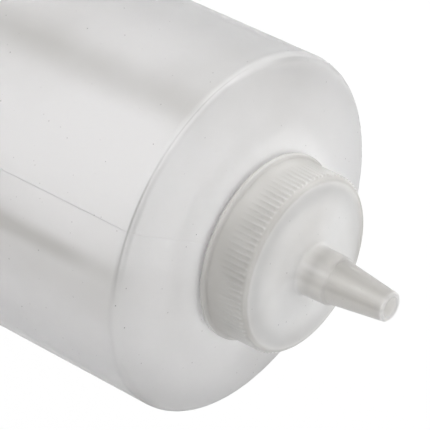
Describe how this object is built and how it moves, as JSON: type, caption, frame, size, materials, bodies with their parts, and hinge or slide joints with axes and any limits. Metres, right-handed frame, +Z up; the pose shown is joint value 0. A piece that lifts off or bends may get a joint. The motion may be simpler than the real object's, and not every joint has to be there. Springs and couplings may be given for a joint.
{
  "type": "squeeze bottle",
  "caption": "Round translucent squeeze bottle with a domed shoulder and a ridged screw cap that ends in an open cone spout.",
  "frame": {"origin": "centre of the standing ring, in the plane that the bottle stands on", "axes": "+Z up along the bottle's axis to the spout, X in the parting plane of the blow mould"},
  "size_m": [0.086, 0.086, 0.2288],
  "materials": {
    "blown_ldpe": "satin translucent natural low-density polyethylene, blow-moulded",
    "moulded_ldpe": "satin translucent natural low-density polyethylene, injection-moulded",
    "seal_foam": "matt white closed-cell polyethylene foam"
  },
  "bodies": {
    "bottle": {"bottle": "blown_ldpe"},
    "seal_ring": {"seal_ring": "seal_foam"},
    "cap": {"cap": "moulded_ldpe"}
  },
  "joints": [
    {"name": "cap_lift", "type": "slide", "parent": "bottle", "child": "seal_ring", "axis": [0, 0, 1], "range_m": [0, 0.0106]},
    {"name": "cap_turn", "type": "hinge", "parent": "seal_ring", "child": "cap", "pos_m": [0, 0, 0.1937], "axis": [0, 0, 1], "range_deg": [0, 900]}
  ],
  "couplings": [
    {"joint": "cap_lift", "follows": "cap_turn", "m_per_rad": 0.0006737}
  ]
}
